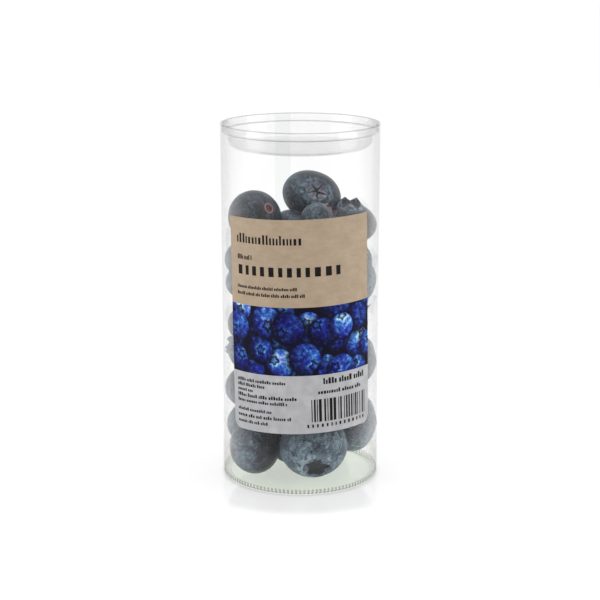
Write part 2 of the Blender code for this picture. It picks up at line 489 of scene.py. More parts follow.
@dataclass(frozen=True)
class PrintedBerry:
    """One berry of the label's picture, as a node group: a shaded disc with a five-lobed crown.

    Attributes:
        name: the group's name.
        crown_size: the crown's radius, where the berry's is 1.
        lobes: how many lobes the crown has.
        lobe_depth: how far they stand out.
        crown_wear: how ragged the crown's edge is.
        wobble: how uneven the berry's outline is.
        lit_from: where the light comes from, on the label.
        roundness: how much lighter the middle is than the outline.
        bloom: how strong the mottle is.
    """

    name: str = "printed_berry"
    crown_size: float = 0.34
    lobes: float = 5.0
    lobe_depth: float = 0.2
    crown_wear: float = 0.9
    wobble: float = 0.12
    lit_from: Point3 = (0.24, 0.2, 0.0)
    roundness: float = 0.34
    bloom: float = 1.7

    def group(self) -> Tree:
        """Return the node group that lays one berry over the colour under it."""
        tree, given = start_group(self.name, "Shader", "Color", Place="Vector", Mottle="Float",
                                  Centre="Vector", Radius="Float", Tone="Float", Crown="Vector",
                                  Turn="Float", Under="Color")
        shift = add_node(tree, "VectorMath", given["Place"], given["Centre"], operation="SUBTRACT")
        inverse = add_node(tree, "Math", 1.0, given["Radius"], operation="DIVIDE")
        disc = add_node(tree, "VectorMath", shift, inverse, operation="SCALE")
        even = add_node(tree, "VectorMath", disc, operation="LENGTH")
        reach = add_node(tree, "Math", given["Mottle"], self.wobble, even, operation="MULTIPLY_ADD")
        shade = add_node(tree, "MapRange", reach, 1.0, 1.35, 0.9, 0.0)
        under = add_node(tree, "Mix", shade, given["Under"], "0b0a1c", data_type="RGBA")
        inside = add_node(tree, "MapRange", reach, 1.0, 0.95)
        star = self._star(tree, disc, given)
        lip = add_node(tree, "MapRange", star, 1.7, 1.1, 0.0, 0.22)
        lipped = add_node(tree, "Math", self._light(tree, disc, reach, given), lip, operation="ADD")
        skin = set_ramp(add_node(tree, "ValToRGB", lipped), (0.0, "0a0c24"), (0.28, "1a2260"),
                        (0.5, "27479c"), (0.72, "4a8acf"), (1.0, "bfe2f4"))
        outer = add_node(tree, "MapRange", star, 1.05, 0.85)
        inner = add_node(tree, "MapRange", star, 0.25, 0.55, 0.0, 0.9)
        ring = add_node(tree, "Math", outer, inner, operation="MULTIPLY")
        crowned = add_node(tree, "Mix", ring, skin, "0a0c22", data_type="RGBA")
        add_node(tree, "NodeGroupOutput", add_node(tree, "Mix", inside, under, crowned, data_type="RGBA"))
        return tree

    def _light(self, tree: Tree, disc: Node, reach: Node, given: bpy.types.NodeOutputs) -> Node:
        """Work out how light a point of the disc is, as a ball under a bloom.

        Args:
            tree: the group's tree.
            disc: the point, where the berry's radius is 1.
            reach: its uneven distance from the middle.
            given: the group's inputs.

        Returns:
            The level, from 0 to 1.
        """
        squared = add_node(tree, "Math", reach, reach, operation="MULTIPLY")
        fall = add_node(tree, "Math", 1.0, squared, operation="SUBTRACT", use_clamp=True)
        height = add_node(tree, "Math", fall, operation="SQRT")
        slant = add_node(tree, "VectorMath", disc, self.lit_from, operation="DOT_PRODUCT")
        ball = add_node(tree, "Math", height, self.roundness, slant, operation="MULTIPLY_ADD")
        bloom = add_node(tree, "Math", given["Mottle"], self.bloom, ball, operation="MULTIPLY_ADD")
        return add_node(tree, "Math", bloom, given["Tone"], operation="ADD")

    def _star(self, tree: Tree, disc: Node, given: bpy.types.NodeOutputs) -> Node:
        """Work out the distance from the crown's middle.

        Args:
            tree: the group's tree.
            disc: the point, where the berry's radius is 1.
            given: the group's inputs.

        Returns:
            The distance, 1 along the crown's uneven lobed edge.
        """
        shift = add_node(tree, "VectorMath", disc, given["Crown"], operation="SUBTRACT")
        star = add_node(tree, "VectorMath", shift, 1 / self.crown_size, operation="SCALE")
        reach = add_node(tree, "VectorMath", star, operation="LENGTH")
        parts = add_node(tree, "SeparateXYZ", star).outputs
        angle = add_node(tree, "Math", parts[1], parts[0], operation="ARCTAN2")
        turned = add_node(tree, "Math", angle, self.lobes, given["Turn"], operation="MULTIPLY_ADD")
        lobe = add_node(tree, "Math", turned, operation="COSINE")
        lobed = add_node(tree, "Math", lobe, self.lobe_depth, 1.0, operation="MULTIPLY_ADD")
        edge = add_node(tree, "Math", reach, lobed, operation="MULTIPLY")
        worn = add_node(tree, "Math", given["Mottle"], 0.5, operation="SUBTRACT")
        return add_node(tree, "Math", worn, self.crown_wear, edge, operation="MULTIPLY_ADD")


@dataclass(frozen=True)
class LabelPaper(Finish):
    """Brown kraft-look label paper: matt and fibrous above, a printed picture, a grey panel below.

    Its pattern runs in millimetres on the label, and its scales are in waves to a millimetre.
    """

    name: str = "kraft_label_paper"
    picture_top: float = 8.1
    picture_foot: float = -18.6
    half_width: float = 30.5
    fibre_length: float = 1.6
    fibre_height: float = 0.03 * MM
    blotch_size: float = 6.0
    tooth_scale: float = 2.2
    disc_scale: float = 0.115
    cloud_scale: float = 0.25
    mottle_scale: float = 0.6
    hue_scale: float = 0.16
    berry_radius: Point = (4.9, 7.2)
    berry_tone: Point = (-0.95, -0.5)
    crown_off: Point = (0.05, 1.1)
    berries: int = 27
    tries: int = 14
    seed: int = 21

    def surface(self, tree: Tree) -> Node:
        """Build the shader.

        Args:
            tree: the material's empty tree.

        Returns:
            The shader's last node.
        """
        place = add_node(tree, "Attribute", attribute_name=PLACE).outputs["Vector"]
        up = add_node(tree, "SeparateXYZ", place).outputs[1]
        low = add_node(tree, "Math", up, self.picture_foot, operation="GREATER_THAN")
        high = add_node(tree, "Math", up, self.picture_top, operation="GREATER_THAN")
        lower = add_node(tree, "Mix", low, self._panel(tree, place), self._picture(tree, place),
                         data_type="RGBA")
        whole = add_node(tree, "Mix", high, lower, self._kraft(tree, place), data_type="RGBA")
        fibre = add_node(tree, "TexNoise", place, self.tooth_scale, 4.0)
        bump = add_node(tree, "Bump", Height=fibre, Distance=self.fibre_height, Strength=0.6)
        return add_node(tree, "BsdfPrincipled", Base_Color=whole, Roughness=0.62,
                        Specular_IOR_Level=0.1, Normal=bump)

    def _kraft(self, tree: Tree, place: Socket) -> Node:
        """Colour the brown paper with soft blotches and short fibres.

        Args:
            tree: the material's tree.
            place: the place on the label.

        Returns:
            The colour.
        """
        blotch = add_node(tree, "TexNoise", place, 1 / self.blotch_size, 3.0, 0.6)
        squash = add_node(tree, "Mapping", Vector=place, Scale=(0.35, 1.0, 1.0))
        fibre = add_node(tree, "TexNoise", squash, 1 / self.fibre_length, 5.0, 0.75)
        mixed = add_node(tree, "Mix", 0.45, blotch, fibre, data_type="FLOAT")
        return set_ramp(add_node(tree, "ValToRGB", mixed), (0.32, "9c8a75"), (0.5, "a6947f"),
                        (0.68, "af9d88"))

    def _panel(self, tree: Tree, place: Socket) -> Node:
        """Colour the grey panel with faint paler discs.

        Args:
            tree: the material's tree.
            place: the place on the label.

        Returns:
            The colour.
        """
        cells = add_node(tree, "TexVoronoi", place, self.disc_scale, Randomness=0.75).outputs["Distance"]
        faint = add_node(tree, "MapRange", cells, 0.32, 0.28, 0.0, 0.3)
        cloud = add_node(tree, "TexNoise", place, self.cloud_scale, 3.0)
        ground = set_ramp(add_node(tree, "ValToRGB", cloud), (0.35, "a4a4a7"), (0.65, "b0b0b3"))
        return add_node(tree, "Mix", faint, ground, "c2c2c4", data_type="RGBA")

    def _picture(self, tree: Tree, place: Socket) -> Node:
        """Colour the picture: berries laid over one another, spread by best candidate.

        Args:
            tree: the material's tree.
            place: the place on the label.

        Returns:
            The colour.
        """
        chance = random.Random(self.seed)
        group = PrintedBerry().group()
        mottle = add_node(tree, "TexNoise", place, self.mottle_scale, 4.0, 0.7)
        under: object = "0b0a1c"
        spots: list[Vector] = []
        for _ in range(self.berries):
            tries = [Vector((chance.uniform(-self.half_width, self.half_width),
                             chance.uniform(self.picture_foot, self.picture_top), 0))
                     for _ in range(self.tries)]
            spot = max(tries, key=lambda one: min([(one - other).length for other in spots] or [0.0]))
            spots.append(spot)
            lean = Matrix.Rotation(chance.uniform(0, 2 * math.pi), 3, "Z") @ Vector((1, 0, 0))
            under = add_node(tree, "Group", node_tree=group, Place=place, Mottle=mottle, Centre=spot,
                             Radius=chance.uniform(*self.berry_radius),
                             Tone=chance.uniform(*self.berry_tone),
                             Crown=lean * chance.uniform(*self.crown_off),
                             Turn=chance.uniform(0, 2 * math.pi), Under=under)
        hue = add_node(tree, "TexNoise", place, self.hue_scale, 2.0)
        share = add_node(tree, "MapRange", hue, 0.45, 0.62)
        return add_node(tree, "Mix", share, under, "c9a8e8", data_type="RGBA", blend_type="MULTIPLY")


@dataclass(frozen=True)
class PlainPaint(Finish):
    """A dull layer of one colour with a faint mottle, such as ink or the back of a label."""

    light: str
    dark: str
    grain: float = 1.2 * MM

    def surface(self, tree: Tree) -> Node:
        """Build the shader.

        Args:
            tree: the material's empty tree.

        Returns:
            The shader's last node.
        """
        place = add_node(tree, "TexCoord").outputs["Object"]
        mottle = add_node(tree, "TexNoise", place, 1 / self.grain, 3.0)
        colour = set_ramp(add_node(tree, "ValToRGB", mottle), (0.3, self.dark), (0.7, self.light))
        return add_node(tree, "BsdfPrincipled", Base_Color=colour, Roughness=0.6, Specular_IOR_Level=0.1)


@dataclass(frozen=True)
class BerrySkin(Finish):
    """Blueberry skin: near-black blue under a pale waxy bloom that is rubbed off in patches, with painted
    shade in the crown's bowl and on one side of each berry.
    """

    name: str = "blueberry_skin"
    patch_size: float = 8.0 * MM
    scuff_size: float = 2.8 * MM
    mottle_size: float = 1.1 * MM
    speck_size: float = 1.3 * MM
    bloom_height: float = 0.08 * MM
    bowl_radius: float = 0.37
    bowl_edge: float = 0.02
    scar_radius: float = 0.17
    scar_edge: float = 0.04

    def surface(self, tree: Tree) -> Node:
        """Build the shader.

        Args:
            tree: the material's empty tree.

        Returns:
            The shader's last node.
        """
        form = add_node(tree, "Attribute", attribute_name=FORM).outputs["Vector"]
        flat = add_node(tree, "VectorMath", form, (1.0, 1.0, 0.0), operation="MULTIPLY")
        reach = add_node(tree, "VectorMath", flat, operation="LENGTH")
        height = add_node(tree, "SeparateXYZ", form).outputs[2]
        upper = add_node(tree, "Math", height, 0.0, operation="GREATER_THAN")
        cover = self._bloom(tree, form, reach, upper)
        skin = set_ramp(add_node(tree, "ValToRGB", cover), (0.08, "12151c"), (0.3, "252e39"),
                        (0.5, "404e5b"), (0.72, "627681"), (0.95, "97a9af"))
        dull = add_node(tree, "MapRange", cover, 0.2, 0.7, 0.36, 0.62)
        bump = add_node(tree, "Bump", Height=cover, Distance=self.bloom_height, Strength=0.6)
        return add_node(tree, "BsdfPrincipled", Base_Color=self._ends(tree, reach, upper, skin),
                        Roughness=dull, Normal=bump, Specular_IOR_Level=0.3, Sheen_Weight=0.08,
                        Sheen_Roughness=0.3)

    def _bloom(self, tree: Tree, form: Socket, reach: Node, upper: Node) -> Node:
        """Work out how much wax covers the skin, with the crown's ring, and painted shade that darkens one
        side of each berry.

        Args:
            tree: the material's tree.
            form: the place on a berry of unit half width.
            reach: its distance from the berry's axis.
            upper: 1 on the crown's half.

        Returns:
            The cover, from 0 to 1.
        """
        place = add_node(tree, "TexCoord").outputs["Object"]
        wide = add_node(tree, "TexNoise", place, 1 / self.patch_size, 6.0, 0.72, Distortion=0.3)
        fine = add_node(tree, "TexNoise", place, 1 / self.mottle_size, 5.0, 0.72)
        rubbed = add_node(tree, "TexNoise", place, 1 / self.scuff_size, 5.0, 0.68, Distortion=0.3)
        cells = add_node(tree, "TexVoronoi", place, 1 / self.speck_size).outputs["Distance"]
        dots = add_node(tree, "MapRange", cells, 0.3, 0.16)
        where = add_node(tree, "MapRange", wide, 0.47, 0.53, 0.0, 0.22)
        specks = add_node(tree, "Math", dots, where, operation="MULTIPLY")
        ring = add_node(tree, "MapRange", reach, 0.6, 0.52, 0.0, 0.2, interpolation_type="SMOOTHSTEP")
        crowned = add_node(tree, "Math", ring, upper, operation="MULTIPLY")
        # Painted shade: the skin is darker on the side of each berry that this attribute points to.
        worn = add_node(tree, "Attribute", attribute_name=SHADED_SIDE).outputs["Vector"]
        towards = add_node(tree, "VectorMath", form, worn, operation="DOT_PRODUCT")
        shade_side = add_node(tree, "Math", towards, 0.0, operation="MAXIMUM")
        cover = add_node(tree, "MapRange", fine, 0.28, 0.72, 0.08, 0.66)
        for change, operation in (
                (add_node(tree, "MapRange", rubbed, 0.4, 0.44, -0.24, 0.0), "ADD"),
                (add_node(tree, "MapRange", wide, 0.465, 0.495, 0.0, 0.24), "ADD"),
                (specks, "SUBTRACT"), (crowned, "ADD"),
                (add_node(tree, "Attribute", attribute_name=TONE).outputs["Fac"], "ADD"),
                (shade_side, "SUBTRACT")):
            cover = add_node(tree, "Math", cover, change, operation=operation)
        return cover

    def _ends(self, tree: Tree, reach: Node, upper: Node, skin: Node) -> Node:
        """Lay painted shade in the crown's bowl, and the red stem scar with its dark middle, on the skin.

        Args:
            tree: the material's tree.
            reach: the distance from the berry's axis.
            upper: 1 on the crown's half.
            skin: the skin's colour.

        Returns:
            The colour.
        """
        scar = add_node(tree, "Attribute", attribute_name=SCAR).outputs["Fac"]
        lower = add_node(tree, "Math", 1.0, upper, operation="SUBTRACT")
        red = add_node(tree, "Math", lower, scar, operation="MULTIPLY")
        off = add_node(tree, "Math", reach, self.scar_radius, operation="SUBTRACT")
        gap = add_node(tree, "Math", off, operation="ABSOLUTE")
        bowl = (self.bowl_radius + self.bowl_edge, self.bowl_radius - self.bowl_edge)
        hole = (self.scar_radius, self.scar_radius - self.scar_edge, 0.0, 0.85)
        # The first layer is painted shade in the hollow of the crown's bowl; the others are the stem
        # scar's own colours.
        for value, limits, side, colour in ((reach, bowl, upper, "26292f"),
                                            (reach, (0.34, 0.16, 0.0, 0.45), red, "4a262b"),
                                            (reach, hole, lower, "3a2024"),
                                            (gap, (0.03, 0.012), red, "93605f")):
            spread = add_node(tree, "MapRange", value, *limits)
            share = add_node(tree, "Math", spread, side, operation="MULTIPLY")
            skin = add_node(tree, "Mix", share, skin, colour, data_type="RGBA")
        return skin


@dataclass(frozen=True)
class DriedCrown(Finish):
    """The crown's lobes: skin that dried on the berry, grey-blue and bloomed, in places pinkish."""

    name: str = "dried_crown"
    blotch_size: float = 1.2 * MM
    blotch_height: float = 0.2 * MM
    most_pink: float = 0.7

    def surface(self, tree: Tree) -> Node:
        """Build the shader.

        Args:
            tree: the material's empty tree.

        Returns:
            The shader's last node.
        """
        place = add_node(tree, "TexCoord").outputs["Object"]
        blotch = add_node(tree, "TexNoise", place, 1 / self.blotch_size, 4.0, 0.6)
        grey = set_ramp(add_node(tree, "ValToRGB", blotch), (0.36, "3a414d"), (0.5, "5b6673"),
                        (0.64, "8a959f"))
        scar = add_node(tree, "Attribute", attribute_name=SCAR).outputs["Fac"]
        pink = add_node(tree, "Math", scar, self.most_pink, operation="MULTIPLY")
        tinted = add_node(tree, "Mix", pink, grey, "7c5b62", data_type="RGBA")
        bump = add_node(tree, "Bump", Height=blotch, Distance=self.blotch_height, Strength=0.6)
        return add_node(tree, "BsdfPrincipled", Base_Color=tinted, Roughness=0.65, Normal=bump,
                        Specular_IOR_Level=0.25)


@dataclass(frozen=True)
class PaleFloor(Finish):
    """A plain white table whose shine shows only in a ring close round the tube's foot, with a painted
    shadow round the foot and painted light under the tube.

    Attributes:
        name: the material's name.
        shine_start: the foot's radius, where the shine and the shade begin.
        shine_full: how far out the shine is full.
        shine_end: where it ends.
        shine: how strong it is.
        shade: the table's level at the foot, dimmed as a painted shadow, where open table has 1.
        shade_end: how far out the painted shadow reaches, where the level is 1 again.
        inside: the level under the tube, raised as painted light.
        glow: how strong the table's own light is.
    """

    name: str = "white_table"
    shine_start: float = 30.2 * MM
    shine_full: float = 45.0 * MM
    shine_end: float = 55.0 * MM
    shine: float = 0.22
    shade: float = 0.8
    shade_end: float = 33.0 * MM
    inside: float = 1.02
    glow: float = 0.62

    def surface(self, tree: Tree) -> Node:
        """Build the shader.

        Args:
            tree: the material's empty tree.

        Returns:
            The shader's last node.
        """
        place = add_node(tree, "TexCoord").outputs["Object"]
        reach = add_node(tree, "VectorMath", place, operation="LENGTH")
        outside = add_node(tree, "Math", reach, self.shine_start, operation="GREATER_THAN")
        fade = add_node(tree, "MapRange", reach, self.shine_end, self.shine_full, 0.0, self.shine,
                        interpolation_type="SMOOTHSTEP")
        # Painted shadow: the table's glow is dimmed in a ring round the foot.
        shade = add_node(tree, "MapRange", reach, self.shine_start, self.shade_end, self.shade, 1.0,
                         interpolation_type="SMOOTHSTEP")
        near = add_node(tree, "Math", fade, outside, operation="MULTIPLY")
        # Painted light: under the tube the glow is brighter than on the open table.
        level = add_node(tree, "Mix", outside, self.inside, shade, data_type="FLOAT")
        strength = add_node(tree, "Math", level, self.glow, operation="MULTIPLY")
        dull = add_node(tree, "BsdfDiffuse", "a8a8a8")
        plain = add_node(tree, "AddShader", dull, add_node(tree, "Emission", "ffffff", strength))
        gloss = add_node(tree, "BsdfGlossy", Roughness=0.015)
        return add_node(tree, "MixShader", near, plain, gloss)


# ---------------------------------------------------------------- the clear pack


@dataclass(frozen=True)
class PackSizes:
    """Sizes that the pieces of the pack share, in metres."""

    radius: float
    height: float
    wall: float = 0.4 * MM
    gap: float = 0.3 * MM
    around: int = 240

    @classmethod
    def from_frame(cls) -> PackSizes:
        """Return the sizes of the tube that the frame holds."""
        low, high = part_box("tube")
        return cls(radius=(high[0] - low[0]) / 2, height=high[2] - low[2])

    @property
    def inside(self) -> float:
        """The wall's inner radius."""
        return self.radius - self.wall


@dataclass
class TubeWall:
    """The rolled wall with its lap at the back and its foot turned in and up as a pleated bead.

    The pleats, short pressed ribs, run down the wall's inner side, round its bend and in along the
    foot.
    """

    pack: PackSizes
    bead_width: float = 3.0 * MM
    bead_height: float = 1.0 * MM
    bead_bend: float = 0.9 * MM
    bead_steps: int = 6
    rim_band: float = 0.35 * MM
    lap_middle: float = math.radians(103.4)
    lap_half: float = math.radians(5.8)
    lap_rise: float = 0.2 * MM
    lap_step: float = math.radians(0.15)
    ribs: int = 120
    rib_climb: float = 1.4 * MM
    rib_run: float = 1.1 * MM
    rib_steps: int = 4
    rib_width: float = 0.8 * MM
    rib_height: float = 0.2 * MM

    def build(self, sheet: Material, lap: Material, edge: Material,
              foot: Material) -> Piece:
        """Build the wall.

        Args:
            sheet: the clear wall.
            lap: the doubled strip at the back.
            edge: the cut rim.
            foot: the bead.

        Returns:
            The wall's object.
        """
        pack = self.pack
        leg = pack.radius - self.bead_width
        outer_bend = (pack.radius - self.bead_bend, self.bead_bend)
        inner_bend = (leg + self.bead_bend, self.bead_bend)
        below_rim = pack.height - self.rim_band
        outside = [(pack.radius, pack.height), (pack.radius, below_rim)]
        outside += arc(outer_bend, self.bead_bend, 0, -90, self.bead_steps)
        outside += arc(inner_bend, self.bead_bend, -90, -180, self.bead_steps)
        outside += [(leg, self.bead_height)]
        inside = [(leg + pack.wall, self.bead_height)]
        inside += arc(inner_bend, self.bead_bend - pack.wall, -180, -90, self.bead_steps)
        inside += arc(outer_bend, self.bead_bend - pack.wall, -90, 0, self.bead_steps)
        inside += [(pack.inside, below_rim), (pack.inside, pack.height)]
        profile = outside + inside
        wall_points = 3
        foot_faces = range(wall_points, len(profile) - wall_points)
        sheet_slot, lap_slot, edge_slot, foot_slot = range(4)
        cut_faces = (0, len(outside) - 1, len(profile) - 2, len(profile) - 1)

        def in_lap(angle: float) -> bool:
            """Return whether an angle is within the doubled strip."""
            return abs(angle - self.lap_middle) <= self.lap_half + self.lap_step / 2

        def swell(index: int, angle: float) -> float:
            """Return how far the doubled strip lifts a point of the wall's outer side."""
            return self.lap_rise if index < wall_points and in_lap(angle) else 0.0

        def slot_of(index: int, angle: float) -> int:
            """Return the material slot of a face."""
            if index in cut_faces:
                return edge_slot
            if index in foot_faces:
                return foot_slot
            return lap_slot if in_lap(angle) else sheet_slot

        return turn_profile("tube_wall", profile, self._angles(), [sheet, lap, edge, foot], swell, slot_of)

    def _angles(self) -> list[float]:
        """Return the turn's steps, with a close pair at each edge of the lap."""
        steps = even_angles(self.pack.around)
        for side in (-1, 1):
            border = self.lap_middle + side * self.lap_half
            steps += [border, border + side * self.lap_step]
        return sorted(steps)

    def build_ribs(self, material: Material) -> Piece:
        """Build the ring of short ribs, the pleats of the foot.

        Args:
            material: the ribs' finish.

        Returns:
            The ring of ribs as one mesh.
        """
        tree, given = start_group("ring_of_ribs", "Geometry", "Geometry", Geometry="Geometry", Count="Int",
                                  Radius="Float", Height="Float", Rib="Object", Finish="Material")
        circle = add_node(tree, "GeometryNodeMeshCircle", given["Count"], given["Radius"])
        lift = add_node(tree, "CombineXYZ", Z=given["Height"])
        raised = add_node(tree, "GeometryNodeSetPosition", Geometry=circle, Offset=lift)
        place = add_node(tree, "GeometryNodeInputPosition")
        flat = add_node(tree, "VectorMath", place, (1.0, 1.0, 0.0), operation="MULTIPLY")
        turn = add_node(tree, "FunctionNodeAlignRotationToVector", Vector=flat, axis="X", pivot_axis="Z")
        dress_group(tree, set_copies(tree, raised, given["Rib"], Rotation=turn), given["Finish"])
        return grow(tree, "foot_ribs", Count=self.ribs, Radius=self.pack.radius - self.bead_bend,
                    Height=self.bead_bend, Rib=self._rib_shape(), Finish=material)

    def _rib_shape(self) -> Piece:
        """Return one rib, a low chamfered bar down the wall, round its bend and in, outwards along X."""
        body = bmesh.new()
        inner = self.bead_bend - self.pack.wall
        turns = [-math.pi / 2 * step / self.rib_steps for step in range(self.rib_steps + 1)]
        path = [(inner, self.rib_climb, 0.0)]
        path += [(inner * math.cos(turn), inner * math.sin(turn), turn) for turn in turns]
        path += [(-self.rib_run, -inner, -math.pi / 2)]
        section = ((-0.5, 0.0), (-0.25, 1.0), (0.25, 1.0), (0.5, 0.0))
        rings = []
        for out, up, turn in path:
            rings.append([body.verts.new((out - rise * self.rib_height * math.cos(turn),
                                          across * self.rib_width,
                                          up - rise * self.rib_height * math.sin(turn)))
                          for across, rise in section])
        for upper, lower in zip(rings, rings[1:]):
            join_rings(body, upper, lower)
        body.faces.new(rings[0])
        body.faces.new(rings[-1])
        return mesh_object("rib", body)


@dataclass
class BaseDisc:
    """The flat clear disc that closes the bottom."""

    pack: PackSizes
    rest: float = 1.0 * MM
    thickness: float = 0.5 * MM
    margin: float = 0.5 * MM
    chamfer: float = 0.12 * MM

    def build(self, disc: Material, edge: Material) -> Piece:
        """Build the disc.

        Args:
            disc: its two faces.
            edge: its cut rim.

        Returns:
            The disc's object.
        """
        low = self.rest + self.pack.gap
        high = low + self.thickness
        rim = self.pack.inside - self.margin
        profile = [(0.0, high), (rim - self.chamfer, high), (rim, high - self.chamfer),
                   (rim, low + self.chamfer), (rim - self.chamfer, low), (0.0, low)]
        rim_face = 2
        return turn_profile("base_disc", profile, even_angles(self.pack.around), [disc, edge],
                            slot_of=lambda index, angle: int(index == rim_face))


@dataclass
class PlugLid:
    """The moulded plug lid: collar in the mouth, ledge, sunk wall, round corner and flat floor."""

    pack: PackSizes
    collar_depth: float = 3.4 * MM
    plug_radius: float = 28.0 * MM
    depth: float = 9.4 * MM
    corner: float = 3.4 * MM
    crease: float = 0.45 * MM
    rim_band: float = 0.3 * MM
    crease_faces: tuple[int, ...] = (2, 3, 4)
    crease_steps: int = 3
    corner_steps: int = 10

    def build(self, moulded: Material, crease: Material,
              edge: Material) -> Piece:
        """Build the lid.

        Args:
            moulded: the clear walls and floor.
            crease: the bend under the collar, tinted darker as painted shade so that it shows as a line.
            edge: the trimmed rim.

        Returns:
            The lid's object.
        """
        pack = self.pack
        wall = pack.wall
        collar = pack.inside - pack.gap
        ledge_z = pack.height - self.collar_depth
        floor_z = pack.height - self.depth
        bend = (self.plug_radius - self.corner, floor_z + self.corner)
        under = [(collar, pack.height), (collar, pack.height - self.rim_band)]
        under += arc((collar - self.crease, ledge_z + self.crease), self.crease, 0, -90,
                     self.crease_steps)
        under += arc((self.plug_radius + self.crease, ledge_z - self.crease), self.crease, 90,
                     180, self.crease_steps)
        under += arc(bend, self.corner, 0, -90, self.corner_steps) + [(0.0, floor_z)]
        over = [(0.0, floor_z + wall)]
        over += arc(bend, self.corner - wall, -90, 0, self.corner_steps)
        over += [(self.plug_radius - wall, ledge_z), (self.plug_radius, ledge_z + wall)]
        over += [(collar - wall - self.crease / 2, ledge_z + wall), (collar - wall, ledge_z + wall * 1.5)]
        over += [(collar - wall, pack.height - self.rim_band), (collar - wall, pack.height)]
        profile = under + over
        count = len(profile)
        edge_faces = {0, count - 2, count - 1}
        moulded_slot, crease_slot, edge_slot = range(3)

        def slot_of(index: int, angle: float) -> int:
            """Return the material slot of a face."""
            if index in edge_faces:
                return edge_slot
            return crease_slot if index in self.crease_faces else moulded_slot

        return turn_profile("plug_lid", profile, even_angles(pack.around), [moulded, crease, edge],
                            slot_of=slot_of)


# ---------------------------------------------------------------- the label


@dataclass(frozen=True)
class WordRow:
    """A row of plain blocks in the place of words, in millimetres on the label.

    Attributes:
        left: where the row starts.
        right: where it ends.
        low: its lower edge.
        tall: the blocks' height.
        wide: a block's usual width.
        word: blocks in a usual word; 0 for an unbroken row.
        fill: the inked share of a block's width.
        gap: the gap after a block, as a share of the usual width.
    """

    left: float
    right: float
    low: float
    tall: float
    wide: float
    word: int = 0
    fill: float = 0.86
    gap: float = 0.18


